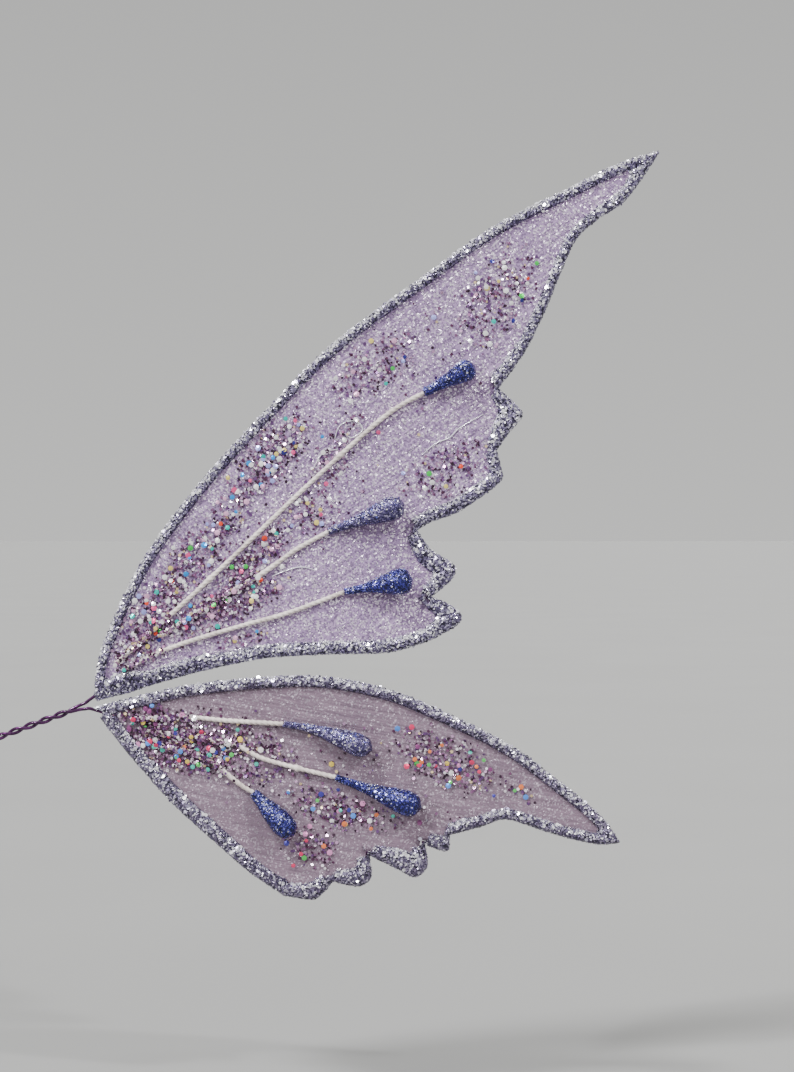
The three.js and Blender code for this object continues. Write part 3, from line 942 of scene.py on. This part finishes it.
def strand_path(phase):
    """One strand's helix, from its cut end up to where the two part."""
    along = np.array([-math.cos(STEM_SLOPE), 0, -math.sin(STEM_SLOPE)])
    up = np.array([-math.sin(STEM_SLOPE), 0, math.cos(STEM_SLOPE)])
    back = np.array([0, 1.0, 0])
    parting, count = STEM_START + 0.2, 200
    distance = np.linspace(STEM_LENGTH, parting, count)
    turn = phase + (distance - STEM_START) / TWIST_PITCH * 2 * math.pi
    return (distance[:, None] * along + TWIST_R * np.cos(turn)[:, None] * up
            + TWIST_R * np.sin(turn)[:, None] * back)


def stem_wire(name, phase, root, strand_node):
    """One real wire: its strand in the stem, and the bends at the root up to its wing."""
    helix = strand_path(phase)
    points = [(x, 0, z) for x, z in root]
    leaves_twist = -6
    lead = smooth_run([tuple(helix[leaves_twist]), *points[:2]], step=0.1)
    bent_wire(f"{name}_stem_wire", strand_node, np.vstack([helix[:leaves_twist], lead]))
    bent_wire(f"{name}_root_bend", f"{name}_root_wire", smooth_run(points[1:], step=0.1))


wing("forewing", FOREWING, FOREWING_STAMENS, FOREWING_PATCHES,
     (FOREWING_FILM, FOREWING_EDGE, FOREWING_SPARKLE, FOREWING_CHUNKY), FOREWING_RIDGES, GLUE_STRINGS)
wing("hindwing", HINDWING, HINDWING_STAMENS, HINDWING_PATCHES,
     (HINDWING_FILM, HINDWING_EDGE, HINDWING_SPARKLE, HINDWING_CHUNKY))
stem_wire("forewing", 0, FOREWING_ROOT, "stem_upper_strand")
stem_wire("hindwing", math.pi, HINDWING_ROOT, "stem_lower_strand")
for node_name in ("forewing_frame_wire", "hindwing_frame_wire"):
    frame_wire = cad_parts[node_name]
    frame_wire.data.materials.clear()
    frame_wire.data.materials.append(WIRE)


# ---------------------------------------------------------------- stage, lights and camera


def stage_floor():
    """A plain grey floor, half_size metres each way."""
    finish = Finish("grey_floor")
    darker, lighter = (0.25, 0.25, 0.246), (0.26, 0.26, 0.256)
    tone = finish.ramp(finish.noise(90), [(0.3, darker), (0.7, lighter)], "LINEAR")
    finish.set(Base_Color=tone, Roughness=0.8)
    half_size, z = 40.0, -60 * MM
    corners = [(x * half_size, y * half_size, z) for x, y in ((-1, -1), (1, -1), (1, 1), (-1, 1))]
    mesh = bpy.data.meshes.new("floor")
    mesh.from_pydata(corners, [], [(0, 1, 2, 3)])
    mesh.materials.append(finish.material)
    floor = bpy.data.objects.new("floor", mesh)
    bpy.context.scene.collection.objects.link(floor)


def soft_light(name, place, width, strength):
    """A far light that shines from a place towards the object, and looks width degrees wide from there."""
    light = bpy.data.lights.new(name, "SUN")
    light.angle = math.radians(width)
    light.energy = strength
    lamp = bpy.data.objects.new(name, light)
    lamp.location = place
    lamp.rotation_mode = "QUATERNION"
    lamp.rotation_quaternion = (-Vector(place)).to_track_quat("-Z", "Y")
    bpy.context.scene.collection.objects.link(lamp)


def studio_world():
    """Soft grey surroundings, darker a little above the horizon and lighter overhead."""
    world = bpy.data.worlds.new("studio")
    world.use_nodes = True
    tree = world.node_tree
    direction = tree.nodes.new("ShaderNodeTexCoord").outputs["Generated"]
    split = tree.nodes.new("ShaderNodeSeparateXYZ")
    tree.links.new(direction, split.inputs[0])
    ramp = tree.nodes.new("ShaderNodeValToRGB")
    horizon, above, overhead = (0.7, 0.7, 0.69, 1), (0.52, 0.52, 0.513, 1), (1.0, 1.0, 0.985, 1)
    band = ramp.color_ramp
    band.elements[0].color = horizon
    band.elements[1].color = overhead
    band.elements[1].position = 0.7
    band.elements.new(0.3).color = above
    tree.links.new(split.outputs["Z"], ramp.inputs["Fac"])
    tree.links.new(ramp.outputs["Color"], tree.nodes["Background"].inputs["Color"])
    bpy.context.scene.world = world


def photo_camera():
    """The camera, level and square to the wings, as in the photograph."""
    camera = bpy.data.objects.new("camera", bpy.data.cameras.new("camera"))
    camera.data.lens = 80
    camera.data.sensor_width = 36
    camera.data.clip_start = 0.001
    camera.location = (45.75 * MM, -357.3 * MM, 25.05 * MM)
    camera.rotation_euler = (math.pi / 2, 0, 0)
    bpy.context.scene.collection.objects.link(camera)
    bpy.context.scene.camera = camera


stage_floor()
studio_world()
soft_light("key", (-0.45, -0.5, 0.9), width=10, strength=3.3)
soft_light("sparkle_left", (-0.8, -0.6, 0.5), width=3, strength=1.8)
soft_light("sparkle_right", (0.6, -0.6, 0.7), width=3, strength=1.5)
soft_light("back", (0.3, 1.0, 0.8), width=20, strength=1.2)
photo_camera()
